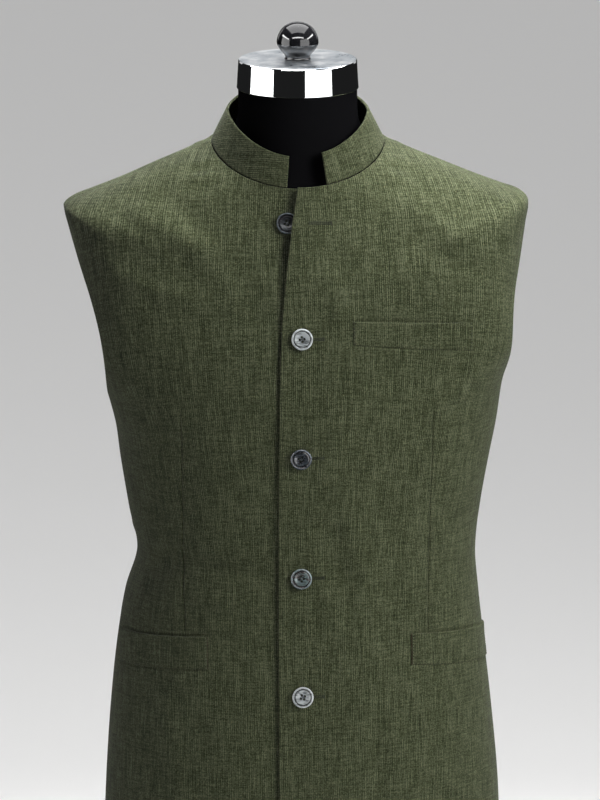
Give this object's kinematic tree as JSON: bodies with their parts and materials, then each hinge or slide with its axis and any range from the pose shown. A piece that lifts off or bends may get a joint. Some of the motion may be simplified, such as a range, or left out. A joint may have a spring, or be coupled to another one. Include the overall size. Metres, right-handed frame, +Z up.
{
  "type": "nehru jacket on a limbless dress form",
  "caption": "Sleeveless linen stand-collar jacket with welt pockets, buttoned on a black limbless dress form with a chrome neck cap, knob, pole and round base.",
  "frame": {"origin": "middle of the underside of the stand's round base, where it rests", "axes": "+Z up; -Y towards the buttoned front; +X towards the wearer's left, the viewer's right"},
  "size_m": [0.435, 0.31, 0.9726],
  "materials": {
    "linen": "slubby melange linen, olive green shot with dark threads",
    "pearl": "polished smoked mother-of-pearl",
    "form_black": "smooth satin black",
    "chrome": "mirror polish with a fine brushed top",
    "gloss_black": "black lacquer",
    "painted_black": "semi-gloss black paint"
  },
  "bodies": {
    "root": {"front_left": "linen", "front_right": "linen", "back_left": "linen", "back_right": "linen", "collar": "linen", "welt_breast": "linen", "welt_left": "linen", "welt_right": "linen", "button_1": "pearl", "button_2": "pearl", "button_3": "pearl", "button_4": "pearl", "button_5": "pearl", "form_torso": "form_black", "neck_cap": "chrome", "knob": "gloss_black", "pole": "chrome", "flange_low": "chrome", "flange_high": "chrome", "base": "painted_black"}
  },
  "joints": []
}
